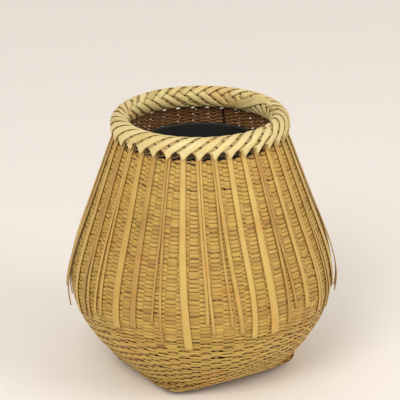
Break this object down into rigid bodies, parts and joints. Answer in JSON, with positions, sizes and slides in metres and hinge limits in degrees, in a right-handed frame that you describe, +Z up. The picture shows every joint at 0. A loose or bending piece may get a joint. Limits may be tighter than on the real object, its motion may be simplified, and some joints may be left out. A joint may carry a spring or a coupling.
{
  "type": "ikebana basket",
  "caption": "Woven bamboo flower basket with an oblong base, round belly, narrow neck, lashed rim, loose splints, lift-out water cup and hanging ring.",
  "frame": {"origin": "middle of the base, on the surface it stands on", "axes": "+Z up through the mouth, -Y towards the viewer of the picture, the ring at the back"},
  "size_m": [0.2106, 0.2057, 0.208],
  "materials": {
    "woven_bamboo": "natural",
    "splint_bamboo": "natural",
    "pale_bamboo": "satin",
    "smoked_bamboo": "natural",
    "black_cup": "satin",
    "aged_iron": "aged"
  },
  "bodies": {
    "basket": {"woven_wall": "woven_bamboo", "woven_base": "woven_bamboo", "lower_base_bar": "smoked_bamboo", "upper_base_bar": "smoked_bamboo", "outer_rim_hoop": "smoked_bamboo", "inner_rim_hoop": "smoked_bamboo", "rim_lashing": "pale_bamboo", "ring_pin": "aged_iron", "splint_01": "splint_bamboo", "splint_02": "splint_bamboo", "splint_03": "splint_bamboo", "splint_04": "splint_bamboo", "splint_05": "splint_bamboo", "splint_06": "splint_bamboo", "splint_07": "splint_bamboo", "splint_08": "splint_bamboo", "splint_09": "splint_bamboo", "splint_10": "splint_bamboo", "splint_11": "splint_bamboo", "splint_12": "splint_bamboo", "splint_13": "splint_bamboo", "splint_14": "splint_bamboo", "splint_15": "splint_bamboo", "splint_16": "splint_bamboo", "splint_17": "splint_bamboo", "splint_18": "splint_bamboo", "splint_19": "splint_bamboo", "splint_20": "splint_bamboo", "splint_21": "splint_bamboo", "splint_22": "splint_bamboo", "splint_23": "splint_bamboo", "splint_24": "splint_bamboo", "splint_25": "splint_bamboo", "splint_26": "splint_bamboo", "splint_27": "splint_bamboo", "splint_28": "splint_bamboo", "splint_29": "splint_bamboo", "splint_30": "splint_bamboo", "splint_31": "splint_bamboo", "splint_32": "splint_bamboo", "splint_33": "splint_bamboo", "splint_34": "splint_bamboo", "splint_35": "splint_bamboo", "splint_36": "splint_bamboo"},
    "cup": {"water_cup": "black_cup"},
    "ring": {"hanging_ring": "aged_iron"}
  },
  "joints": [
    {"name": "cup_lift", "type": "slide", "parent": "basket", "child": "cup", "axis": [0, 0, 1], "range_m": [0, 0.21]},
    {"name": "ring_swing", "type": "hinge", "parent": "basket", "child": "ring", "pos_m": [0.02009, 0.07006, 0.18285], "axis": [0.9613, -0.2756, 0], "range_deg": [0, 165]}
  ]
}
